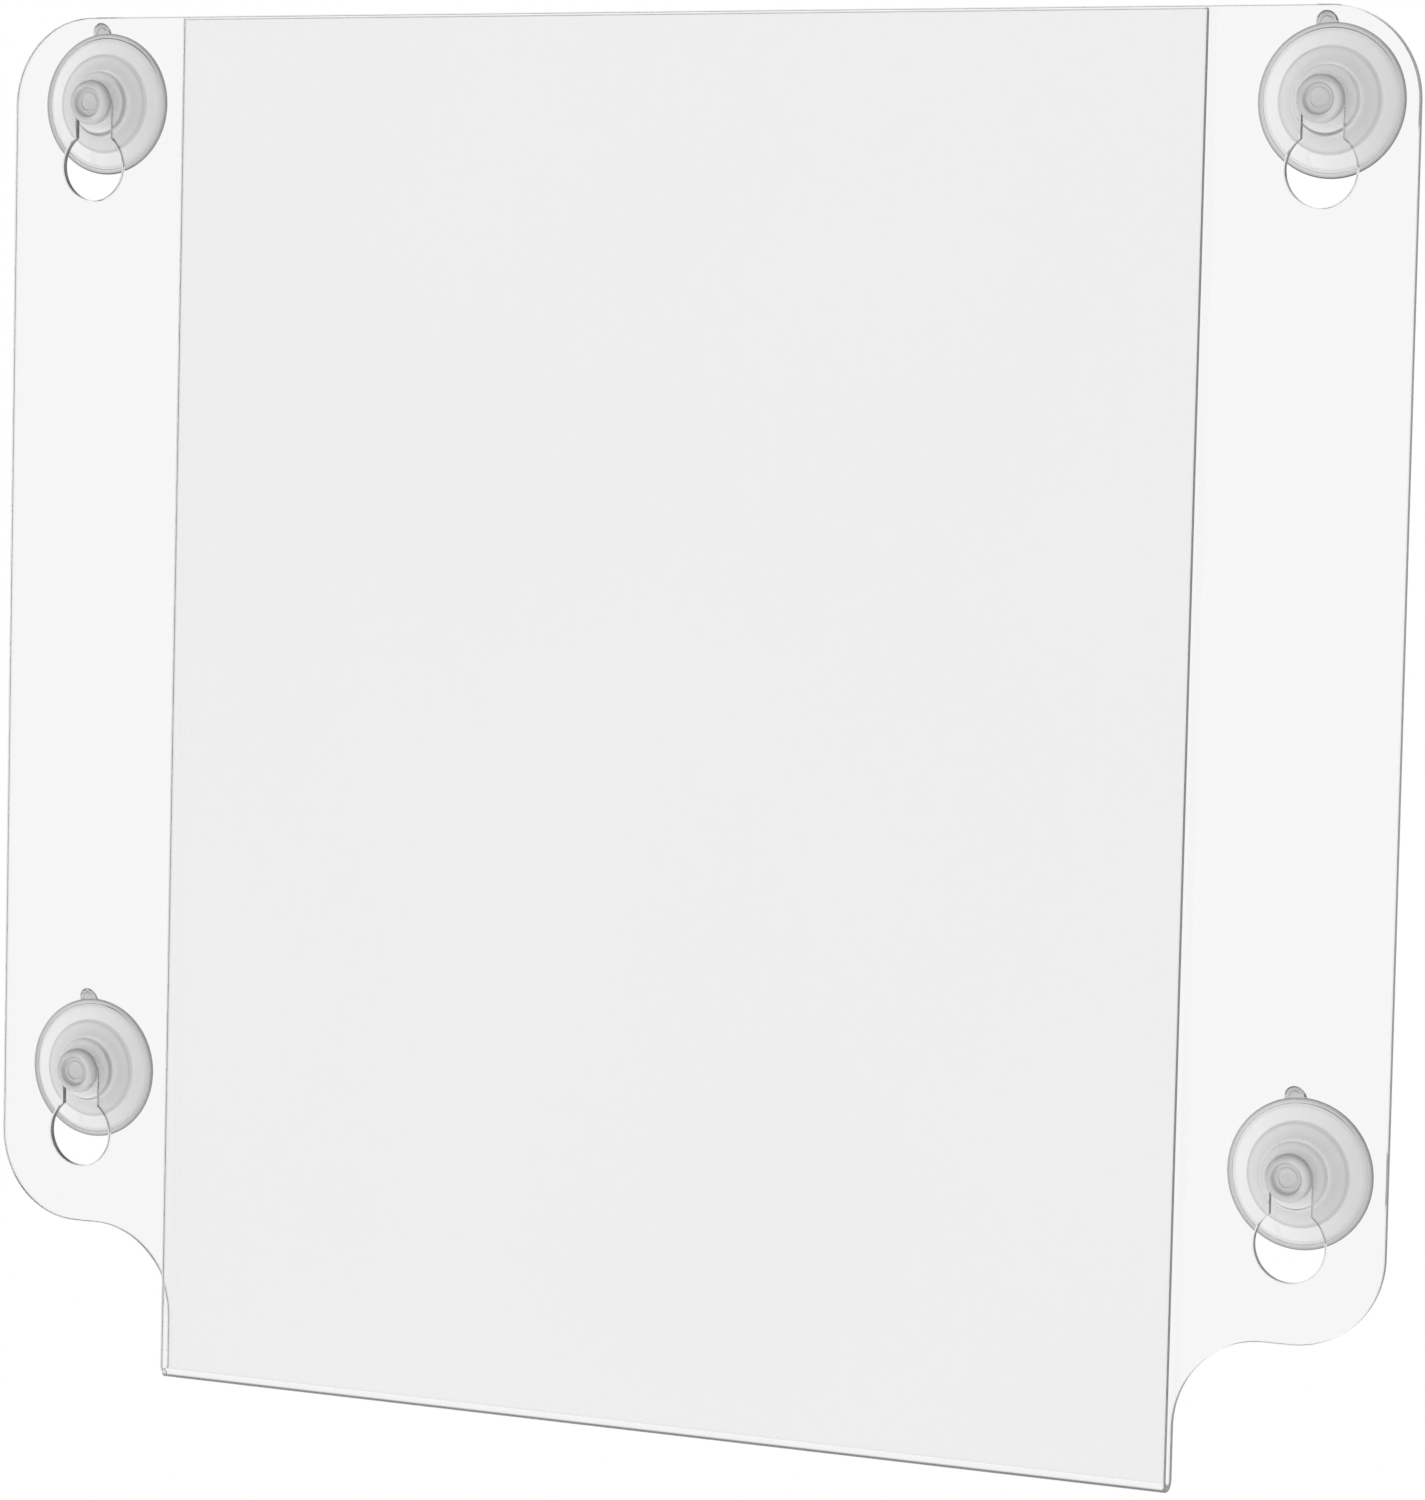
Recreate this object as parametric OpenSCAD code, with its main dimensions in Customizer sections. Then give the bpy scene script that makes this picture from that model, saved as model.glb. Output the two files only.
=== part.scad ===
// Clear window sign guard: one bent acrylic sheet that hangs in front of a
// pane on four suction cups.
// X runs along the sheet's width, +Y points at the pane, +Z is up.
// The origin is on the pane's surface, midway between the four cups.

/* [Sheet] */
// Thickness of the acrylic sheet
sheet_t = 1.6; // [1.2:0.1:2.5]
// Overall width of the back panel, ears included
back_w = 304.8; // [290:0.1:330]
// Height of the back panel above the underside of the fold
back_h = 280.6; // [270:0.1:300]
// Radius of the four outer corners
corner_r = 18; // [10:0.5:19]
// Height of the ears' lower edge above the underside of the fold
ear_z = 30.4; // [26:0.1:31]
// Radius of the inside corners where the ears meet the tongue
ear_fillet_r = 18; // [10:0.5:20]

/* [Pocket] */
// Width of the front panel and of the tongue it is folded from
pocket_w = 222; // [218:0.1:224]
// Height of the front panel above the underside of the fold
pocket_h = 280; // [240:0.1:280]
// Clear space between the panels at the fold
pocket_gap = 1.5; // [1:0.1:3]
// Clear space between the panels at the open top edge
mouth_gap = 0.3; // [0.2:0.05:1]

/* [Keyholes] */
// Distance of each keyhole from the centre line
key_x = 133.5; // [130:0.1:135]
// Height of the upper entry holes above the underside of the fold
upper_key_z = 250.1; // [240:0.1:251]
// Height of the lower entry holes above the underside of the fold
lower_key_z = 49.2; // [49:0.1:80]
// Diameter of an entry hole
key_d = 14.1; // [13:0.1:16]
// Width of the slot above an entry hole
slot_w = 8.3; // [7:0.1:8.5]
// Rise from the entry hole's centre to a seated cup's axis
key_rise = 13; // [12.5:0.1:14]

/* [Suction cups] */
// Diameter of a cup's rim
cup_d = 29; // [26:0.5:31]
// Distance from the pane to the back of the sheet
stand_off = 4.9; // [4.8:0.1:7]
// Diameter of the mushroom head in front of the sheet
head_d = 9.2; // [9:0.1:10.5]
// Thickness of the mushroom head
head_t = 2.3; // [1.8:0.1:3]
// Diameter of the neck that runs in the slot
neck_d = 6.4; // [5.5:0.1:6.8]
// Diameter of the shoulder that bears on the back of the sheet
shoulder_d = 12.4; // [11:0.1:14]
// Height of the pull tab beyond the rim
tab_h = 2.4; // [2.3:0.1:5]
// Angle of the pull tab from straight up, towards -X
tab_lean = 5; // [0:1:20]

/* [Hidden] */
$fn = 96;

// Clearances of a cup to the sheet: on its faces, and under the slot's end
// when the sheet hangs on the neck
face_clearance = 0.15;
seat_clearance = 0.05;
slot_rise = key_rise - (slot_w - neck_d) / 2 + seat_clearance;

// Fold along the bottom edge
fold_in_r = pocket_gap / 2;
fold_out_r = fold_in_r + sheet_t;
fold_y = -stand_off - sheet_t - fold_in_r;
front_len = pocket_h - fold_out_r;
front_lean = pocket_gap - mouth_gap;

// Heights in the object's frame
mid_z = (upper_key_z + lower_key_z) / 2 + key_rise;
fold_z = fold_out_r - mid_z;
seat_upper_z = upper_key_z + key_rise - mid_z;
seat_lower_z = lower_key_z + key_rise - mid_z;

// Suction cup profile: radii and distances from the pane
cup_r = cup_d / 2;
lip_w = 0.9;
lip_t = 0.55;
step_r = 0.68 * cup_r;
step_y = 2.35;
skirt_t = 1.0;
hollow_r = 0.40 * cup_r;
shoulder_y = stand_off - face_clearance;
head_y = stand_off + sheet_t + face_clearance;
dimple_r = neck_d / 2 - 0.3;
dimple_depth = 0.7;

// Outline of the back panel, seen from the front. The fold's centre line is
// the lower edge, and heights are from the underside of the fold.
module back_outline() {
    difference() {
        union() {
            for (sx = [-1, 1], z = [ear_z + corner_r, back_h - corner_r])
                translate([sx * (back_w / 2 - corner_r), z]) circle(corner_r);
            translate([-back_w / 2, ear_z + corner_r])
                square([back_w, back_h - ear_z - 2 * corner_r]);
            translate([corner_r - back_w / 2, ear_z])
                square([back_w - 2 * corner_r, back_h - ear_z]);
            translate([-pocket_w / 2, fold_out_r])
                square([pocket_w, ear_z]);
            for (sx = [-1, 1]) scale([sx, 1]) ear_fillet();
        }
        for (sx = [-1, 1], z = [upper_key_z, lower_key_z])
            translate([sx * key_x, z]) keyhole();
    }
}

// Inside corner between the tongue and the right ear
module ear_fillet() {
    difference() {
        translate([pocket_w / 2 - 1, ear_z - ear_fillet_r])
            square([ear_fillet_r + 1, ear_fillet_r + 1]);
        translate([pocket_w / 2 + ear_fillet_r, ear_z - ear_fillet_r])
            circle(ear_fillet_r);
    }
}

// Keyhole about its entry hole's centre, slot upwards
module keyhole() {
    circle(d = key_d);
    translate([-slot_w / 2, 0]) square([slot_w, slot_rise]);
    translate([0, slot_rise]) circle(d = slot_w);
}

// Section of the fold and the front panel about the fold's centre line:
// the pane is to the right, and the front panel leans back towards it
module fold_section() {
    difference() {
        circle(fold_out_r);
        circle(fold_in_r);
        translate([-2 * fold_out_r, 0])
            square([4 * fold_out_r, 2 * fold_out_r]);
    }
    polygon([
        [-fold_out_r, 0],
        [-fold_in_r, 0],
        [-fold_in_r + front_lean, front_len],
        [-fold_out_r + front_lean, front_len]
    ]);
}

// The bent sheet: back panel, tight fold and front panel in one piece
module bent_sheet() {
    color([0.93, 0.94, 0.95, 0.35]) {
        translate([0, -stand_off, -mid_z])
            rotate([90, 0, 0]) linear_extrude(sheet_t) back_outline();
        translate([0, fold_y, fold_z])
            rotate([90, 0, 90]) translate([0, 0, -pocket_w / 2])
                linear_extrude(pocket_w) fold_section();
    }
}

// Half section of a suction cup: radius, distance from the pane
function cup_section() = [
    [0, 1.9],
    [hollow_r, 1.7],
    [step_r, step_y - skirt_t],
    [cup_r - lip_w, 0.1],
    [cup_r - lip_w, 0],
    [cup_r, 0],
    [cup_r, lip_t],
    [cup_r - lip_w, lip_t + 0.45],
    [step_r + 0.5, step_y - 0.35],
    [step_r, step_y],
    [shoulder_d / 2 + 0.6, 3.3],
    [shoulder_d / 2, 4.0],
    [shoulder_d / 2, shoulder_y],
    [neck_d / 2, shoulder_y],
    [neck_d / 2, head_y],
    [head_d / 2, head_y],
    [head_d / 2, head_y + head_t - 0.9],
    [head_d / 2 - 0.9, head_y + head_t],
    [dimple_r, head_y + head_t],
    [dimple_r - 0.5, head_y + head_t - dimple_depth],
    [0, head_y + head_t - dimple_depth]
];

// One clear cup about its own axis, rim on the pane at y = 0
module suction_cup() {
    color([0.86, 0.87, 0.88, 0.6]) {
        rotate([90, 0, 0]) rotate_extrude() polygon(cup_section());
        rotate([0, -tab_lean, 0]) pull_tab();
    }
}

// Small round-topped tab at the top of the rim
module pull_tab() {
    tab_w = 4.6;
    tab_t = 1.3;
    root = 0.8;
    translate([0, -0.2, cup_r - root])
        rotate([90, 0, 0])
            linear_extrude(tab_t) {
                translate([-tab_w / 2, 0])
                    square([tab_w, root + tab_h - tab_w / 2]);
                translate([0, root + tab_h - tab_w / 2]) circle(d = tab_w);
            }
}

module cup_upper_left() { translate([-key_x, 0, seat_upper_z]) suction_cup(); }
module cup_upper_right() { translate([key_x, 0, seat_upper_z]) suction_cup(); }
module cup_lower_left() { translate([-key_x, 0, seat_lower_z]) suction_cup(); }
module cup_lower_right() { translate([key_x, 0, seat_lower_z]) suction_cup(); }

bent_sheet();
cup_upper_left();
cup_upper_right();
cup_lower_left();
cup_lower_right();
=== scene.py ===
"""Looks for the clear window sign guard: a folded acrylic sheet on four suction cups.

X runs along the sheet, +Y points at the pane, +Z is up, in metres.
"""

import math

import bmesh
import bpy
from mathutils import Matrix, Vector
from mathutils.geometry import tessellate_polygon


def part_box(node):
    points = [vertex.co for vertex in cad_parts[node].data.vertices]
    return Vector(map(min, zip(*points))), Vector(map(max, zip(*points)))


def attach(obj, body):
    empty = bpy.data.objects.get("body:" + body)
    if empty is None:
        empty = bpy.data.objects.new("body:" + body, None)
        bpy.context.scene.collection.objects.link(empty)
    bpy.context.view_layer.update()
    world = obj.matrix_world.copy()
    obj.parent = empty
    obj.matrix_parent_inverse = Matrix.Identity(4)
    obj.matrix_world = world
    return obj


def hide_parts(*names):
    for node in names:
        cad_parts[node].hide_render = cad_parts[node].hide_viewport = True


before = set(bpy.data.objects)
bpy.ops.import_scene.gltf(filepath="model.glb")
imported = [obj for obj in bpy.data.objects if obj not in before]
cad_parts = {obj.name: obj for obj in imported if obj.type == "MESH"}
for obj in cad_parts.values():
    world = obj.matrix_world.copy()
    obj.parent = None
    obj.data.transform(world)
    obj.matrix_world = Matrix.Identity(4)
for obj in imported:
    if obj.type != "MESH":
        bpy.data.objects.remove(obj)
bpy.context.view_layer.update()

MM = 0.001
CUPS = ("upper_left", "upper_right", "lower_left", "lower_right")

# ---------------------------------------------------------------- sizes
# Places come from the frame. The other sizes are the CAD model's.
sheet_lo, sheet_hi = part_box("bent_sheet")
SHEET_T = 1.6 * MM
FOLD_OUT_R = (sheet_hi.y - sheet_lo.y) / 2
FOLD_IN_R = FOLD_OUT_R - SHEET_T
FOLD_Y = sheet_hi.y - FOLD_OUT_R
FOLD_Z = sheet_lo.z + FOLD_OUT_R
BEND_LEN = math.pi * (FOLD_IN_R + SHEET_T / 2)
BACK_HALF_W = sheet_hi.x
BACK_TOP = sheet_hi.z
FRONT_TOP = BACK_TOP - 0.6 * MM
FRONT_LEN = FRONT_TOP - FOLD_Z
MOUTH_GAP = 0.3 * MM
FRONT_LEAN = 2 * FOLD_IN_R - MOUTH_GAP
POCKET_HALF_W = 111 * MM
CORNER_R = 18 * MM
EAR_Z = sheet_lo.z + 30.4 * MM
EAR_FILLET_R = 18 * MM
KEY_R = 7.05 * MM
SLOT_HALF_W = 4.15 * MM
KEY_RISE = 13 * MM
SLOT_RISE = 12.1 * MM
CUP_R = 14.5 * MM
HEAD_R = 4.6 * MM

# Chamfer along every cut edge of the sheet, which the CAD model doesn't have
EDGE_BREAK = 0.2 * MM

# How finely the curves are cut up
CORNER_STEPS = 24
ENTRY_STEPS = 64
SLOT_STEPS = 32
FOLD_STEPS = 32
CUP_SIDES = 128
ROUNDING_STEPS = 5

# An edge is sharp where its faces turn by more than this many degrees
HARD_SHARP, SOFT_SHARP = 25, 50
TINY = 1e-7


def cup_centre(name):
    """The cup's axis on the pane. Its box is taller than the rim by the pull tab."""
    lo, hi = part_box("cup_" + name)
    return Vector(((lo.x + hi.x) / 2, 0, lo.z + CUP_R))


def finished(bm, name, sharp_deg):
    """A mesh object from bm, smooth but for edges over sharp_deg."""
    mesh = bpy.data.meshes.new(name)
    bm.to_mesh(mesh)
    bm.free()
    for p in mesh.polygons:
        p.use_smooth = True
    mesh.set_sharp_from_angle(angle=math.radians(sharp_deg))
    obj = bpy.data.objects.new(name, mesh)
    bpy.context.scene.collection.objects.link(obj)
    return obj


# ---------------------------------------------------------------- outlines
# A mitred corner moves by at most the distance divided by this
MITRE_LIMIT = 0.35


def arc(cx, cz, r, start, end, steps):
    """Points on an arc in the XZ plane; angles in degrees, anticlockwise from +X."""
    turn = [math.radians(start + (end - start) * i / steps) for i in range(steps + 1)]
    return [(cx + r * math.cos(a), cz + r * math.sin(a)) for a in turn]


def blank_outline(bottom):
    """The flat blank before it is bent: back panel with ears, tongue and front panel."""
    fillet_x, fillet_z = POCKET_HALF_W + EAR_FILLET_R, EAR_Z - EAR_FILLET_R
    corner_x = BACK_HALF_W - CORNER_R
    right = [(POCKET_HALF_W, bottom)]
    right += arc(fillet_x, fillet_z, EAR_FILLET_R, 180, 90, CORNER_STEPS)
    right += arc(corner_x, EAR_Z + CORNER_R, CORNER_R, -90, 0, CORNER_STEPS)
    right += arc(corner_x, BACK_TOP - CORNER_R, CORNER_R, 0, 90, CORNER_STEPS)
    left = [(-x, z) for x, z in reversed(right)]
    return right + left


def keyhole_outline(x, z):
    """Entry hole at (x, z) with its slot above, anticlockwise."""
    half = math.degrees(math.asin(SLOT_HALF_W / KEY_R))
    entry = arc(x, z, KEY_R, 90 + half, 450 - half, ENTRY_STEPS)
    slot = arc(x, z + SLOT_RISE, SLOT_HALF_W, 0, 180, SLOT_STEPS)
    return entry + slot


def moved_in(loop, d):
    """The closed loop moved by d to its left, with mitred corners."""
    out = []
    n = len(loop)
    for i in range(n):
        a, p, b = (Vector(loop[j % n]) for j in (i - 1, i, i + 1))
        u, v = (p - a).normalized(), (b - p).normalized()
        nu, nv = Vector((-u.y, u.x)), Vector((-v.y, v.x))
        m = (nu + nv).normalized()
        q = p + m * (d / max(MITRE_LIMIT, m.dot(nu)))
        out.append((q.x, q.y))
    return out


# ---------------------------------------------------------------- the bent sheet
# Material slot 0 is the sheet's faces, and this one its cut edges
EDGE_SLOT = 1
# A narrow flat strip is kept on both sides of the fold
FOLD_GUARD = 0.4 * MM


def bend(p):
    """Where a point of the flat blank lands.

    p.y is the depth from the inner face, and p.z the height.
    """
    r = FOLD_IN_R + p.y
    down = FOLD_Z - p.z
    if down <= 0:
        return Vector((p.x, FOLD_Y + r, p.z))
    if down < BEND_LEN:
        a = math.pi * down / BEND_LEN
        return Vector((p.x, FOLD_Y + r * math.cos(a), FOLD_Z - r * math.sin(a)))
    up = down - BEND_LEN
    return Vector((p.x, FOLD_Y - r + FRONT_LEAN * up / FRONT_LEN, FOLD_Z + up))


def fill_blank(bm):
    """The flat blank in bm: a slab with its four keyholes and chamfered cut edges."""
    loops = [(blank_outline(FOLD_Z - BEND_LEN - FRONT_LEN), 1)]
    for name in CUPS:
        c = cup_centre(name)
        loops.append((keyhole_outline(c.x, c.z - KEY_RISE), -1))
    # each ring's depth, and whether it lies inside the chamfer
    depths = [(0, True), (EDGE_BREAK, False), (SHEET_T - EDGE_BREAK, False), (SHEET_T, True)]
    caps = {0: [], SHEET_T: []}
    for loop, side in loops:
        rings = []
        for depth, inset in depths:
            pts = moved_in(loop, side * EDGE_BREAK) if inset else loop
            ring = [bm.verts.new((x, depth, z)) for x, z in pts]
            rings.append(ring)
            if inset:
                caps[depth].append(ring)
        n = len(loop)
        for a, b in zip(rings, rings[1:]):
            for i in range(n):
                j = (i + 1) % n
                bm.faces.new((a[i], a[j], b[j], b[i])).material_index = EDGE_SLOT
    for rings in caps.values():
        flat = [v for ring in rings for v in ring]
        polys = [[Vector((v.co.x, v.co.z, 0)) for v in ring] for ring in rings]
        for tri in tessellate_polygon(polys):
            bm.faces.new([flat[i] for i in tri])


def make_sheet():
    """The sheet: the flat blank is cut into strips across the fold, and then bent."""
    bm = bmesh.new()
    fill_blank(bm)
    cuts = [FOLD_Z + FOLD_GUARD]
    cuts += [FOLD_Z - BEND_LEN * i / FOLD_STEPS for i in range(FOLD_STEPS + 1)]
    cuts.append(FOLD_Z - BEND_LEN - FOLD_GUARD)
    for z in cuts:
        geom = list(bm.verts) + list(bm.edges) + list(bm.faces)
        bmesh.ops.bisect_plane(bm, geom=geom, dist=TINY, plane_co=(0, 0, z), plane_no=(0, 0, 1))
    for v in bm.verts:
        v.co = bend(v.co)
    bmesh.ops.recalc_face_normals(bm, faces=list(bm.faces))
    bmesh.ops.dissolve_degenerate(bm, dist=TINY, edges=list(bm.edges))
    return finished(bm, "acrylic_sheet", HARD_SHARP)


# ---------------------------------------------------------------- a suction cup
# Half section in mm: radius, distance from the pane, and the corner's rounding
CUP_SECTION = [
    # hollow underside
    (0, 1.9, 0),
    (5.8, 1.72, 2.0),
    (9.4, 1.4, 0.6),
    (10.2, 1.0, 0.4),
    (13.1, 0.35, 0.4),
    (13.5, 0.2, 0.1),
    # lip on the pane, and the rim's bead
    (13.75, 0.0, 0.1),
    (14.25, 0.0, 0.25),
    (14.5, 0.3, 0.25),
    (14.5, 0.8, 0.45),
    (14.1, 1.15, 0.35),
    (13.65, 1.1, 0.25),
    # groove and skirt
    (13.45, 0.85, 0.15),
    (13.0, 0.95, 0.2),
    (12.85, 1.15, 0.15),
    (10.35, 1.85, 0.3),
    # step and dome
    (10.0, 2.05, 0.2),
    (9.65, 2.45, 0.3),
    (9.2, 2.55, 0.3),
    (7.6, 3.0, 0.8),
    # shoulder and neck
    (6.5, 3.75, 0.6),
    (6.1, 4.75, 0.5),
    (3.2, 4.75, 0.15),
    (3.2, 6.65, 0.15),
    # mushroom head
    (4.6, 6.65, 0.35),
    (4.6, 8.0, 0.7),
    (3.9, 8.95, 0.5),
    (3.1, 8.95, 0.2),
    # its dimple, with a low inner ring
    (2.75, 8.35, 0.2),
    (2.2, 8.25, 0.15),
    (2.0, 8.5, 0.15),
    (1.75, 8.5, 0.15),
    (1.6, 8.2, 0.3),
    (0, 8.05, 0),
]
# A corner's rounding takes at most this part of the sides beside it
ROUNDING_SHARE = 0.45
# Material slots of a cup are its skirt, its shoulder and neck, its head, and its pull tab.
# The second and third start this far from the pane.
SHOULDER_FROM, HEAD_FROM = 3.7 * MM, 6.0 * MM
TAB_SLOT = 3


def rounded(section):
    """The section's points with each corner replaced by a small arc (a quadratic curve)."""
    out = []
    for i, (r, d, radius) in enumerate(section):
        p = Vector((r, d))
        if radius == 0 or i in (0, len(section) - 1):
            out.append(p)
            continue
        a, b = Vector(section[i - 1][:2]), Vector(section[i + 1][:2])
        ra = min(radius, (a - p).length * ROUNDING_SHARE)
        rb = min(radius, (b - p).length * ROUNDING_SHARE)
        s, e = p + (a - p).normalized() * ra, p + (b - p).normalized() * rb
        for k in range(ROUNDING_STEPS + 1):
            t = k / ROUNDING_STEPS
            out.append(s * (1 - t) ** 2 + p * (2 * t * (1 - t)) + e * t * t)
    return out


def turned(section):
    """The section in mm turned about the cup's axis, with the rim at y = 0."""
    turn = [2 * math.pi * k / CUP_SIDES for k in range(CUP_SIDES)]
    bm = bmesh.new()
    rings = []
    for p in section:
        if p.x == 0:
            rings.append([bm.verts.new((0, -p.y * MM, 0))])
            continue
        rings.append([
            bm.verts.new((p.x * MM * math.sin(a), -p.y * MM, p.x * MM * math.cos(a)))
            for a in turn
        ])
    for a, b in zip(rings, rings[1:]):
        depth = -(a[0].co.y + b[0].co.y) / 2
        for k in range(CUP_SIDES):
            n = (k + 1) % CUP_SIDES
            if len(a) == 1:
                face = bm.faces.new((a[0], b[n], b[k]))
            elif len(b) == 1:
                face = bm.faces.new((a[k], a[n], b[0]))
            else:
                face = bm.faces.new((a[k], a[n], b[n], b[k]))
            face.material_index = (depth > SHOULDER_FROM) + (depth > HEAD_FROM)
    bmesh.ops.recalc_face_normals(bm, faces=list(bm.faces))
    return finished(bm, "suction_cup", SOFT_SHARP)


def make_tab():
    """The pull tab: a small round tongue on the rim with a thick bead around its edge."""
    half_w, height, root = 2.3 * MM, 2.35 * MM, 0.9 * MM
    base = CUP_R - 0.1 * MM
    lean = Matrix.Rotation(math.radians(-5), 3, "Y")
    rows, sides, crowding = 14, 48, 0.7
    # half thicknesses in mm, and the bead's place and width on the way from middle to edge
    web, bead_rise, edge_power = 0.16, 0.4, 8
    bead_at, bead_width = 0.74, 0.13
    # how far it stands off the pane, and how it tilts and twists forward
    stand_off, tilt, twist = 0.6 * MM, 0.3, 0.12

    def place(s, k, face):
        a = 2 * math.pi * k / sides
        x, z = s * half_w * math.cos(a), s * (height if math.sin(a) > 0 else root) * math.sin(a)
        bead = math.exp(-((s - bead_at) / bead_width) ** 2) * max(0.0, math.sin(a)) ** 0.5
        half_t = (web + bead_rise * bead) * math.sqrt(max(0.0, 1 - s ** edge_power)) * MM
        forward = stand_off + tilt * max(0.0, z) + twist * x
        return lean @ Vector((x, face * half_t - forward, base + z))

    bm = bmesh.new()
    border = [bm.verts.new(place(1, k, 1)) for k in range(sides)]
    for face in (-1, 1):
        inner = [bm.verts.new(place(0, 0, face))]
        for i in range(1, rows + 1):
            s = (i / rows) ** crowding
            ring = border if i == rows else [bm.verts.new(place(s, k, face)) for k in range(sides)]
            for k in range(sides):
                n = (k + 1) % sides
                if len(inner) == 1:
                    bm.faces.new((inner[0], ring[k], ring[n]))
                else:
                    bm.faces.new((inner[k], ring[k], ring[n], inner[n]))
            inner = ring
    for f in bm.faces:
        f.material_index = TAB_SLOT
    bmesh.ops.recalc_face_normals(bm, faces=list(bm.faces))
    return finished(bm, "pull_tab", SOFT_SHARP)


def make_cup(materials):
    """The mesh of one cup about its own axis: the turned section joined with its pull tab."""
    cup, tab = turned(rounded(CUP_SECTION)), make_tab()
    for obj in (cup, tab):
        for mat in materials:
            obj.data.materials.append(mat)
    union = cup.modifiers.new("tab", "BOOLEAN")
    union.operation = "UNION"
    union.solver = "EXACT"
    union.object = tab
    joined = cup.evaluated_get(bpy.context.evaluated_depsgraph_get())
    mesh = bpy.data.meshes.new_from_object(joined)
    mesh.set_sharp_from_angle(angle=math.radians(SOFT_SHARP))
    bpy.data.objects.remove(cup)
    bpy.data.objects.remove(tab)
    return mesh


# ---------------------------------------------------------------- nodes
# Most of a noise texture's values lie between these
NOISE_LOW, NOISE_HIGH = 0.3, 0.7


def new_material(name):
    """A material, its node tree and its shader."""
    mat = bpy.data.materials.new(name)
    mat.use_nodes = True
    return mat, mat.node_tree, mat.node_tree.nodes["Principled BSDF"]


def noise(tree, place, scale, detail, rough=0.5):
    tex = tree.nodes.new("ShaderNodeTexNoise")
    tex.inputs["Scale"].default_value = scale
    tex.inputs["Detail"].default_value = detail
    tex.inputs["Roughness"].default_value = rough
    tree.links.new(place, tex.inputs["Vector"])
    return tex.outputs["Fac"]


def greys(tree, value, low, high):
    """Noise as a grey from low to high."""
    ramp = tree.nodes.new("ShaderNodeValToRGB")
    for stop, position, tone in zip(ramp.color_ramp.elements, (NOISE_LOW, NOISE_HIGH), (low, high)):
        stop.position = position
        stop.color = (tone, tone, tone, 1)
    tree.links.new(value, ramp.inputs["Fac"])
    return ramp.outputs["Color"]


def span(tree, value, low, high, start=0.0, end=1.0, kind="LINEAR"):
    """low where the value is start, high where it is end, and held there beyond them."""
    m = tree.nodes.new("ShaderNodeMapRange")
    m.interpolation_type = kind
    for key, number in (("From Min", start), ("From Max", end), ("To Min", low), ("To Max", high)):
        m.inputs[key].default_value = number
    tree.links.new(value, m.inputs["Value"])
    return m.outputs["Result"]


def smooth(tree, value, edge, low=0.0, high=1.0):
    """A soft step from low to high, between the two values of edge."""
    return span(tree, value, low, high, *edge, kind="SMOOTHSTEP")


def mix(tree, factor, a, b):
    m = tree.nodes.new("ShaderNodeMix")
    for socket, value in (("Factor", factor), ("A", a), ("B", b)):
        if isinstance(value, float):
            m.inputs[socket].default_value = value
        else:
            tree.links.new(value, m.inputs[socket])
    return m.outputs["Result"]


def vector_math(tree, operation, value, other=None):
    """other is a vector, or another node's output."""
    m = tree.nodes.new("ShaderNodeVectorMath")
    m.operation = operation
    tree.links.new(value, m.inputs[0])
    if isinstance(other, bpy.types.NodeSocket):
        tree.links.new(other, m.inputs[1])
    elif other is not None:
        m.inputs[1].default_value = other
    return m.outputs["Value" if operation in ("DOT_PRODUCT", "LENGTH") else "Vector"]


def bumps(tree, bsdf, height, strength, distance):
    bump = tree.nodes.new("ShaderNodeBump")
    bump.inputs["Strength"].default_value = strength
    bump.inputs["Distance"].default_value = distance
    tree.links.new(height, bump.inputs["Height"])
    tree.links.new(bump.outputs["Normal"], bsdf.inputs["Normal"])


# ---------------------------------------------------------------- materials
ACRYLIC_IOR, VINYL_IOR = 1.49, 1.53

# Painted shade by the distance in mm from the axis: dark rings are painted at the rim's bead and at
# the steps, darkest at the rim's outer edge, and the vinyl between them is left light.
VINYL_REACH = 18
VINYL_RING_SHADE = (
    (0.0, 0.82), (1.6, 0.88), (2.2, 0.84), (2.9, 0.80), (3.2, 1.0), (4.3, 1.0), (4.6, 0.96),
    (5.95, 1.0), (6.2, 1.0), (6.45, 0.86), (7.2, 0.78), (9.1, 0.84), (9.6, 0.78), (9.8, 0.55),
    (10.0, 0.82), (10.3, 1.0), (12.5, 0.99), (13.1, 0.86), (13.3, 0.93), (13.7, 0.88),
    (13.9, 0.74), (14.1, 0.55), (14.3, 0.30), (14.5, 0.14), (18.0, 0.14),
)
# Painted shade on the pull tab: its colour darkens from 14.6 mm to 16.8 mm from the axis, towards
# its tip
TAB_TIP_SHADE = ((0.0, 0.9), (14.6, 0.9), (16.8, 0.75), (18.0, 0.75))
# A cup's finishes in the order of its material slots: name, clearness and painted shade tones
VINYLS = (
    ("clear_vinyl", 0.97, VINYL_RING_SHADE),
    ("clear_vinyl_shoulder", 0.66, VINYL_RING_SHADE),
    ("clear_vinyl_head", 0.25, VINYL_RING_SHADE),
    ("clear_vinyl_tab", 0.8, TAB_TIP_SHADE),
)
# Painted shade: the vinyl is darkened to this tint on its +X (right) side, the side away from the
# light, ramping from the reach below on -X to the same reach on +X
RIGHT_SIDE_SHADE_TINT = 0.75
SIDE_SHADE_REACH = 0.8 * CUP_R
# The thick head is this much rougher than the skirt, fading to nothing at HAZE_END
HEAD_HAZE = 0.32
HAZE_END = 1.3 * HEAD_R


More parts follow.
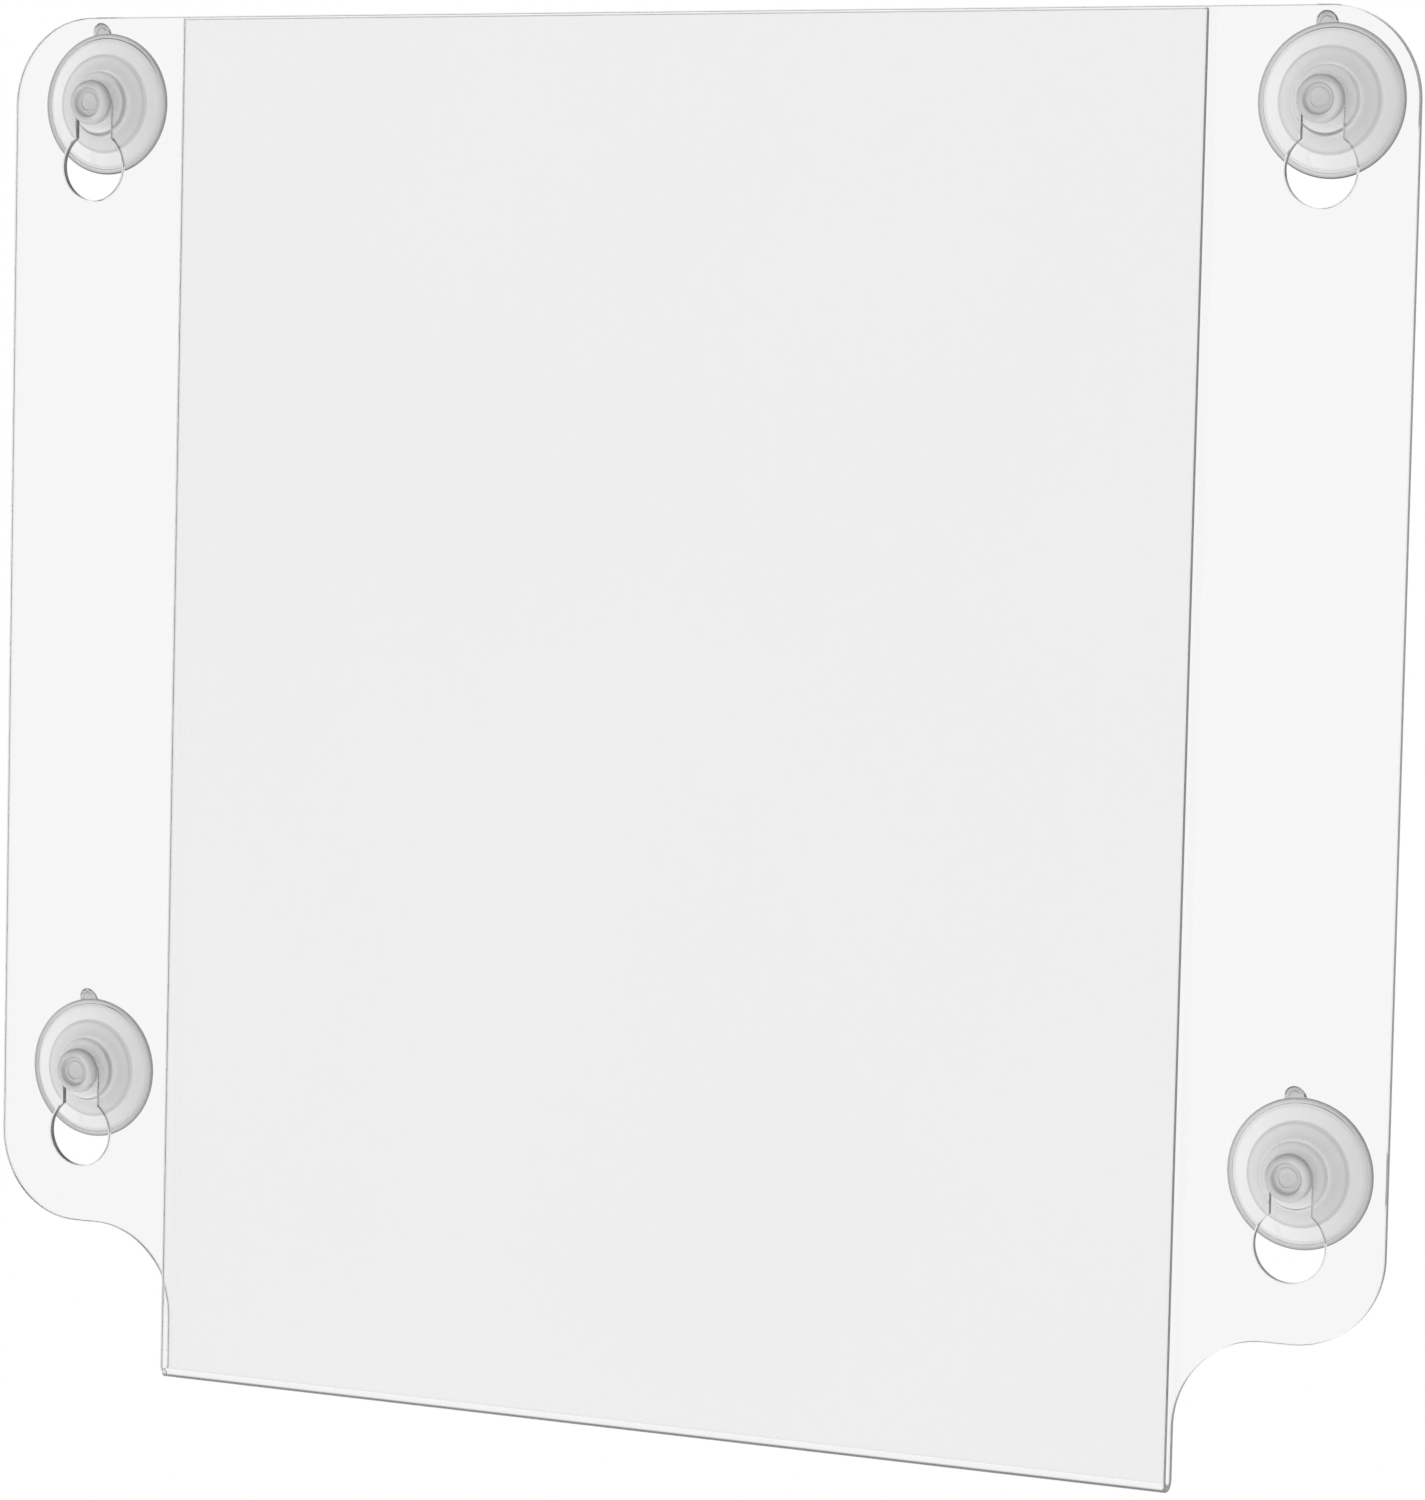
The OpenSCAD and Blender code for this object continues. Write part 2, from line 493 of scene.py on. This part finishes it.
def acrylic_face():
    """Polished clear sheet with the faintest waves."""
    mat, tree, bsdf = new_material("acrylic_face")
    place = tree.nodes.new("ShaderNodeTexCoord").outputs["Object"]
    bsdf.inputs["Transmission Weight"].default_value = 1.0
    bsdf.inputs["IOR"].default_value = ACRYLIC_IOR
    cloud = noise(tree, place, scale=9, detail=2)
    tree.links.new(greys(tree, cloud, 0.934, 0.940), bsdf.inputs["Base Color"])
    haze = noise(tree, place, scale=160, detail=4)
    tree.links.new(span(tree, haze, 0.0, 0.012), bsdf.inputs["Roughness"])
    wave = noise(tree, place, scale=14, detail=1)
    bumps(tree, bsdf, wave, strength=0.05, distance=0.4 * MM)
    return mat


def acrylic_edge():
    """The sheet's cut edge: slightly frosted by the saw."""
    mat, tree, bsdf = new_material("acrylic_edge")
    place = tree.nodes.new("ShaderNodeTexCoord").outputs["Object"]
    bsdf.inputs["Transmission Weight"].default_value = 0.76
    bsdf.inputs["IOR"].default_value = ACRYLIC_IOR
    cloud = noise(tree, place, scale=60, detail=3)
    tree.links.new(greys(tree, cloud, 0.90, 0.98), bsdf.inputs["Base Color"])
    saw = noise(tree, place, scale=900, detail=5, rough=0.7)
    tree.links.new(span(tree, saw, 0.05, 0.18), bsdf.inputs["Roughness"])
    bumps(tree, bsdf, saw, strength=0.25, distance=0.1 * MM)
    return mat


def painted_ring_shade(tree, radius, shade_tones):
    """Painted shade: greys by the distance from the axis, where radius is a part of VINYL_REACH."""
    ramp = tree.nodes.new("ShaderNodeValToRGB")
    stops = ramp.color_ramp.elements
    for place, _ in shade_tones[1:-1]:
        stops.new(place / VINYL_REACH)
    for stop, (place, tone) in zip(stops, shade_tones):
        stop.position = place / VINYL_REACH
        stop.color = (tone, tone, tone, 1)
    tree.links.new(radius, ramp.inputs["Fac"])
    return ramp.outputs["Color"]


def clear_vinyl(name, clearness, shade_tones):
    """Soft clear vinyl. The less clear it is, the more of it is milky. Its colour holds painted
    shade: dark rings at the rim and the steps, and a darker +X side.
    """
    mat, tree, bsdf = new_material(name)
    place = tree.nodes.new("ShaderNodeTexCoord").outputs["Object"]
    bsdf.inputs["Transmission Weight"].default_value = clearness
    bsdf.inputs["IOR"].default_value = VINYL_IOR
    reach = VINYL_REACH * MM
    flat = vector_math(tree, "MULTIPLY", place, (1 / reach, 0, 1 / reach))
    radius = vector_math(tree, "LENGTH", flat)
    cloud = noise(tree, place, scale=220, detail=3)
    across = tree.nodes.new("ShaderNodeSeparateXYZ")
    tree.links.new(place, across.inputs["Vector"])
    # Painted shade: darker towards +X, the side away from the light
    right_side_shade = span(tree, across.outputs["X"], 1.0, RIGHT_SIDE_SHADE_TINT, -SIDE_SHADE_REACH, SIDE_SHADE_REACH)
    # Painted shade: dark rings at the rim's bead and the steps, by distance from the axis
    colour = painted_ring_shade(tree, radius, shade_tones)
    for factor in (greys(tree, cloud, 0.97, 1.0), right_side_shade):
        colour = vector_math(tree, "MULTIPLY", colour, factor)
    tree.links.new(colour, bsdf.inputs["Base Color"])
    skin = noise(tree, place, scale=700, detail=4)
    rough = tree.nodes.new("ShaderNodeMath")
    rough.operation = "ADD"
    tree.links.new(span(tree, skin, 0.02, 0.07), rough.inputs[0])
    haze = span(tree, radius, HEAD_HAZE, 0.0, HEAD_R / reach, HAZE_END / reach)
    tree.links.new(haze, rough.inputs[1])
    tree.links.new(rough.outputs["Value"], bsdf.inputs["Roughness"])
    bumps(tree, bsdf, cloud, strength=0.12, distance=0.2 * MM)
    return mat


# ---------------------------------------------------------------- build the object
sheet = make_sheet()
sheet.data.materials.append(acrylic_face())
sheet.data.materials.append(acrylic_edge())
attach(sheet, "sheet")
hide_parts("bent_sheet")

cup_mesh = make_cup([clear_vinyl(*finish) for finish in VINYLS])
for name in CUPS:
    cup = bpy.data.objects.new("suction_cup_" + name, cup_mesh.copy())
    bpy.context.scene.collection.objects.link(cup)
    cup.location = cup_centre(name)
    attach(cup, name + "_cup")
    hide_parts("cup_" + name)


# ---------------------------------------------------------------- stage, light and camera
# The studio's tones, where 1 is white
FRONT_TONE = 0.8
LEFT_TONE = 0.85
RIGHT_TONE = 0.6
CEILING_TONE = 0.15
WHITE = 1.0
# The white part of the wall is around this direction
BACKDROP = Vector((-0.10, 1.0, 0)).normalized()
# Where the tones meet, as cosines: from +X, from BACKDROP twice, and from straight up twice
SIDE_EDGE = (-0.8, 0.8)
FRONT_EDGE = (-0.7, -0.2)
BACKDROP_EDGE = (0.45, 0.76)
CEILING_EDGE = (0.34, 0.6)
LAMP_EDGE = (0.8, 0.95)
# The floor's radius and height, and where its white part ends, in metres
FLOOR_R, FLOOR_SIDES, FLOOR_Z = 30, 64, -0.75
FLOOR_EDGE = (0.8, 2.6)


def wall_tone(tree, direction):
    """The studio's brightness towards a direction: white behind the pane, greyest to the right.

    The world and the floor share it, so that no horizon shows between them.
    """
    across = vector_math(tree, "DOT_PRODUCT", direction, (1, 0, 0))
    behind = vector_math(tree, "DOT_PRODUCT", direction, BACKDROP)
    tone = smooth(tree, across, SIDE_EDGE, LEFT_TONE, RIGHT_TONE)
    tone = mix(tree, smooth(tree, behind, FRONT_EDGE), FRONT_TONE, tone)
    return mix(tree, smooth(tree, behind, BACKDROP_EDGE), tone, WHITE)


def make_floor():
    """A pale floor: white around the object, and as bright as the wall further out."""
    bm = bmesh.new()
    bmesh.ops.create_circle(bm, cap_ends=True, radius=FLOOR_R, segments=FLOOR_SIDES)
    floor = finished(bm, "floor", HARD_SHARP)
    floor.location.z = FLOOR_Z
    mat, tree, bsdf = new_material("pale_floor")
    place = tree.nodes.new("ShaderNodeTexCoord").outputs["Object"]
    outwards = vector_math(tree, "NORMALIZE", place)
    far = smooth(tree, vector_math(tree, "LENGTH", place), FLOOR_EDGE)
    tone = mix(tree, far, WHITE, wall_tone(tree, outwards))
    bsdf.inputs["Base Color"].default_value = (0.0, 0.0, 0.0, 1)
    bsdf.inputs["Roughness"].default_value = 1.0
    bsdf.inputs["Specular IOR Level"].default_value = 0
    bsdf.inputs["Emission Color"].default_value = (1, 1, 1, 1)
    tree.links.new(tone, bsdf.inputs["Emission Strength"])
    floor.data.materials.append(mat)


def make_world():
    """Soft studio light: the wall all around, a dim ceiling and a lamp straight above."""
    world = bpy.data.worlds.new("studio")
    bpy.context.scene.world = world
    world.use_nodes = True
    tree = world.node_tree
    direction = tree.nodes.new("ShaderNodeTexCoord").outputs["Generated"]
    up = vector_math(tree, "DOT_PRODUCT", direction, (0, 0, 1))
    tone = wall_tone(tree, direction)
    tone = mix(tree, smooth(tree, up, CEILING_EDGE), tone, CEILING_TONE)
    tone = mix(tree, smooth(tree, up, LAMP_EDGE), tone, WHITE)
    background = tree.nodes["Background"]
    tree.links.new(tone, background.inputs["Color"])
    background.inputs["Strength"].default_value = 1.0


def make_camera():
    """A long lens to the right of the sheet's front and a little above it."""
    cam = bpy.data.objects.new("camera", bpy.data.cameras.new("camera"))
    bpy.context.scene.collection.objects.link(cam)
    azimuth, elevation, roll = math.radians(25.68), math.radians(3.94), math.radians(1.26)
    distance = 1.0487
    aim = Vector((0.0122, -0.008, -0.0261))
    back = Vector((
        math.sin(azimuth) * math.cos(elevation),
        -math.cos(azimuth) * math.cos(elevation),
        math.sin(elevation),
    ))
    turn = (-back).to_track_quat("-Z", "Y").to_matrix() @ Matrix.Rotation(roll, 3, "Z")
    cam.matrix_world = Matrix.Translation(aim + back * distance) @ turn.to_4x4()
    cam.data.lens = 128.48
    cam.data.sensor_width = 36
    bpy.context.scene.camera = cam


make_floor()
make_world()
make_camera()
bpy.context.scene.view_settings.view_transform = "Standard"
